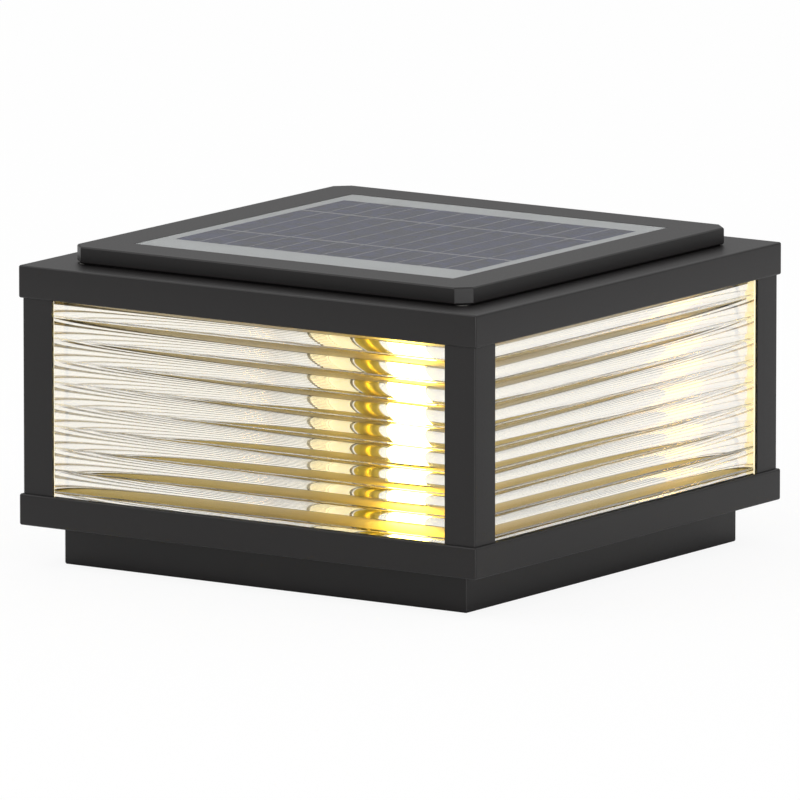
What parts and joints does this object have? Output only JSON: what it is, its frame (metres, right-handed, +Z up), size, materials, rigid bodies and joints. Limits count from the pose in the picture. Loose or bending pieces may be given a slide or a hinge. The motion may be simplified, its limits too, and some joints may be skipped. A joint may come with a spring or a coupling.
{
  "type": "solar deck post cap light",
  "caption": "Low square solar lantern for a post top: charcoal metal frame, horizontally fluted clear windows, central light tube and lift-off solar lid on a recessed collar.",
  "frame": {"origin": "centre of the underside, on the post top", "axes": "+Z up; the front window faces -Y; +X to the right seen from the front"},
  "size_m": [0.2, 0.2, 0.1172],
  "materials": {
    "charcoal_metal": "fine satin powder coat, dark charcoal",
    "bronze_black_metal": "satin dark bronze coat",
    "brass_reflector": "polished brass-coloured reflector",
    "clear_acrylic": "clear moulded acrylic with horizontal hollow flutes",
    "white_silicone": "white silicone strip",
    "black_rubber": "matt black rubber",
    "die_cast_zinc": "raw die-cast metal",
    "zinc_steel": "zinc-plated steel",
    "frosted_acrylic": "frosted diffuser tube, lit warm white",
    "white_plastic": "white moulded plastic",
    "green_board": "glass-fibre circuit board",
    "led_yellow": "phosphor-coated light chips",
    "black_plastic": "black moulded plastic",
    "red_plastic": "red moulded button",
    "lead_black": "black cable jacket",
    "battery_wrap": "shrink-wrapped cell",
    "nickel_contact": "nickel-plated steel",
    "panel_white": "white solder mask on circuit board",
    "solar_silicon": "blue-black silicon cells with fine grid lines",
    "solder_ribbon": "tinned ribbon",
    "panel_glass": "clear smooth cover with a soft sheen"
  },
  "bodies": {
    "housing": {"base_collar": "charcoal_metal", "battery_box": "black_plastic", "battery_cells": "battery_wrap", "battery_contacts": "nickel_contact", "battery_door": "black_plastic", "battery_leads": "lead_black", "board_parts": "black_plastic", "board_spacers": "black_plastic", "ceiling_plate": "bronze_black_metal", "control_board": "green_board", "control_cover": "black_plastic", "corner_blocks_lower": "die_cast_zinc", "corner_blocks_upper": "die_cast_zinc", "corner_seals": "white_silicone", "cover_screws": "zinc_steel", "door_screws": "zinc_steel", "floor_plate": "brass_reflector", "frame_screws_lower": "zinc_steel", "frame_screws_upper": "zinc_steel", "head_gasket": "black_rubber", "led_board": "green_board", "led_chips": "led_yellow", "led_lead": "lead_black", "lens_back": "clear_acrylic", "lens_front": "clear_acrylic", "lens_left": "clear_acrylic", "lens_right": "clear_acrylic", "light_tube": "frosted_acrylic", "lower_frame": "charcoal_metal", "mounting_plate": "zinc_steel", "panel_lead": "lead_black", "panel_socket": "black_plastic", "peg_sockets": "black_rubber", "post_back_left": "charcoal_metal", "post_back_right": "charcoal_metal", "post_front_left": "charcoal_metal", "post_front_right": "charcoal_metal", "side_screws": "zinc_steel", "sill_gasket": "black_rubber", "switch_body": "black_plastic", "tube_socket_lower": "white_plastic", "tube_socket_upper": "white_plastic", "upper_frame": "charcoal_metal", "wire_duct": "brass_reflector"},
    "solar_head": {"lid_shell": "charcoal_metal", "lid_gasket": "black_rubber", "lid_pegs": "nickel_contact", "solar_board": "panel_white", "solar_cells": "solar_silicon", "solar_busbars": "solder_ribbon", "solar_cover": "panel_glass", "junction_box": "black_plastic", "panel_plug": "black_plastic"},
    "power_button": {"switch_button": "red_plastic"}
  },
  "joints": [
    {"name": "solar_head_lift", "type": "slide", "parent": "housing", "child": "solar_head", "axis": [0, 0, 1], "range_m": [0, 0.06]},
    {"name": "power_button_press", "type": "slide", "parent": "housing", "child": "power_button", "axis": [0, 0, 1], "range_m": [0, 0.0012], "stiffness_N_per_m": 300}
  ]
}
